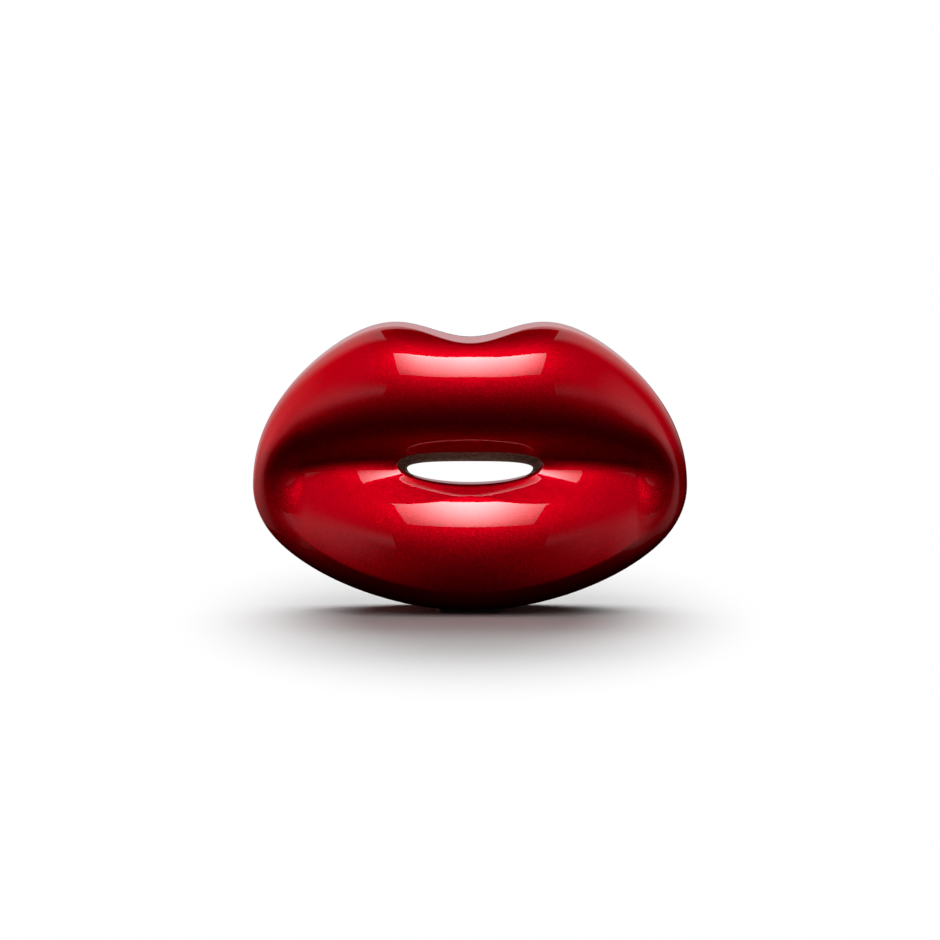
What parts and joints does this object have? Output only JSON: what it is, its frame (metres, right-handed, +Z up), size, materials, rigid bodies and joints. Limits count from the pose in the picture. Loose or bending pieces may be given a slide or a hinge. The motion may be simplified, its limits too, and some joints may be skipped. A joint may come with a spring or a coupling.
{
  "type": "lips-shaped novelty telephone",
  "caption": "One-piece telephone shaped as parted lips, standing on its lower lip: glossy lacquered shell, open mouth, and a rear cover with keypad, receiver, microphone and line socket.",
  "frame": {"origin": "middle of the rubber sole's underside, on the surface that the phone stands on", "axes": "+X to the right seen from the front, +Y to the rear, through the mouth to the rear cover, +Z up"},
  "size_m": [0.215, 0.0597, 0.1422],
  "materials": {
    "red_lacquer": "moulded shell under a candy-red metallic lacquer with a clear gloss coat",
    "dark_plastic": "dark brown-black moulded plastic, fine satin grain",
    "brown_plastic": "bare brown moulding with a rough grain",
    "black_gloss": "black gloss moulding",
    "ivory_plastic": "ivory key plastic",
    "black_rubber": "soft black rubber",
    "grey_rubber": "grey rubber or foam",
    "steel": "bright zinc-plated steel",
    "iron": "dark iron",
    "circuit_board": "tan circuit board",
    "paper": "thin pressed diaphragm",
    "aluminium": "plain aluminium can",
    "brass": "brass"
  },
  "bodies": {
    "phone": {"front_shell": "red_lacquer", "rear_cover": "dark_plastic", "mouth_liner": "brown_plastic", "sole_pad": "black_rubber", "hook_yoke": "steel", "hook_screws": "steel", "hook_switch": "dark_plastic", "hook_spring": "steel", "ballast_block": "iron", "ballast_screws": "steel", "keypad_bezel": "black_gloss", "keypad_mat": "grey_rubber", "keypad_board": "circuit_board", "keypad_screws": "steel", "receiver_grille": "black_gloss", "receiver_housing": "dark_plastic", "receiver_magnet": "iron", "receiver_diaphragm": "paper", "receiver_gasket": "grey_rubber", "receiver_clamp": "steel", "receiver_screws": "steel", "microphone_grille": "black_gloss", "microphone_boot": "black_rubber", "microphone_capsule": "aluminium", "ringer_grille": "black_gloss", "ringer_chamber": "dark_plastic", "ringer_disc": "brass", "main_board": "circuit_board", "main_screws": "steel", "line_transformer": "iron", "capacitors": "aluminium", "dialling_circuit": "dark_plastic", "ringer_switch": "dark_plastic", "mode_switch": "dark_plastic", "line_jack": "dark_plastic", "jack_contacts": "brass", "cover_screws": "steel"},
    "key_1_cap": {"key_1": "ivory_plastic"},
    "key_2_cap": {"key_2": "ivory_plastic"},
    "key_3_cap": {"key_3": "ivory_plastic"},
    "key_4_cap": {"key_4": "ivory_plastic"},
    "key_5_cap": {"key_5": "ivory_plastic"},
    "key_6_cap": {"key_6": "ivory_plastic"},
    "key_7_cap": {"key_7": "ivory_plastic"},
    "key_8_cap": {"key_8": "ivory_plastic"},
    "key_9_cap": {"key_9": "ivory_plastic"},
    "key_star_cap": {"key_star": "ivory_plastic"},
    "key_0_cap": {"key_0": "ivory_plastic"},
    "key_hash_cap": {"key_hash": "ivory_plastic"},
    "hook": {"hook_plunger": "dark_plastic", "hook_arm": "steel"},
    "ringer_slider": {"ringer_knob": "ivory_plastic"},
    "mode_slider": {"mode_knob": "ivory_plastic"}
  },
  "joints": [
    {"name": "key_1_press", "type": "slide", "parent": "phone", "child": "key_1_cap", "axis": [0, -1, 0], "range_m": [0, 0.0016], "stiffness_N_per_m": 300, "springref_m": -0.0005},
    {"name": "key_2_press", "type": "slide", "parent": "phone", "child": "key_2_cap", "axis": [0, -1, 0], "range_m": [0, 0.0016], "stiffness_N_per_m": 300, "springref_m": -0.0005},
    {"name": "key_3_press", "type": "slide", "parent": "phone", "child": "key_3_cap", "axis": [0, -1, 0], "range_m": [0, 0.0016], "stiffness_N_per_m": 300, "springref_m": -0.0005},
    {"name": "key_4_press", "type": "slide", "parent": "phone", "child": "key_4_cap", "axis": [0, -1, 0], "range_m": [0, 0.0016], "stiffness_N_per_m": 300, "springref_m": -0.0005},
    {"name": "key_5_press", "type": "slide", "parent": "phone", "child": "key_5_cap", "axis": [0, -1, 0], "range_m": [0, 0.0016], "stiffness_N_per_m": 300, "springref_m": -0.0005},
    {"name": "key_6_press", "type": "slide", "parent": "phone", "child": "key_6_cap", "axis": [0, -1, 0], "range_m": [0, 0.0016], "stiffness_N_per_m": 300, "springref_m": -0.0005},
    {"name": "key_7_press", "type": "slide", "parent": "phone", "child": "key_7_cap", "axis": [0, -1, 0], "range_m": [0, 0.0016], "stiffness_N_per_m": 300, "springref_m": -0.0005},
    {"name": "key_8_press", "type": "slide", "parent": "phone", "child": "key_8_cap", "axis": [0, -1, 0], "range_m": [0, 0.0016], "stiffness_N_per_m": 300, "springref_m": -0.0005},
    {"name": "key_9_press", "type": "slide", "parent": "phone", "child": "key_9_cap", "axis": [0, -1, 0], "range_m": [0, 0.0016], "stiffness_N_per_m": 300, "springref_m": -0.0005},
    {"name": "key_star_press", "type": "slide", "parent": "phone", "child": "key_star_cap", "axis": [0, -1, 0], "range_m": [0, 0.0016], "stiffness_N_per_m": 300, "springref_m": -0.0005},
    {"name": "key_0_press", "type": "slide", "parent": "phone", "child": "key_0_cap", "axis": [0, -1, 0], "range_m": [0, 0.0016], "stiffness_N_per_m": 300, "springref_m": -0.0005},
    {"name": "key_hash_press", "type": "slide", "parent": "phone", "child": "key_hash_cap", "axis": [0, -1, 0], "range_m": [0, 0.0016], "stiffness_N_per_m": 300, "springref_m": -0.0005},
    {"name": "hook_slide", "type": "slide", "parent": "phone", "child": "hook", "axis": [0, 0, -1], "range_m": [0, 0.004], "stiffness_N_per_m": 150, "springref_m": 0.008, "deforming": ["hook_spring"]},
    {"name": "ringer_slide", "type": "slide", "parent": "phone", "child": "ringer_slider", "axis": [0, 0, -1], "range_m": [0, 0.004]},
    {"name": "mode_slide", "type": "slide", "parent": "phone", "child": "mode_slider", "axis": [0, 0, -1], "range_m": [0, 0.004]}
  ]
}
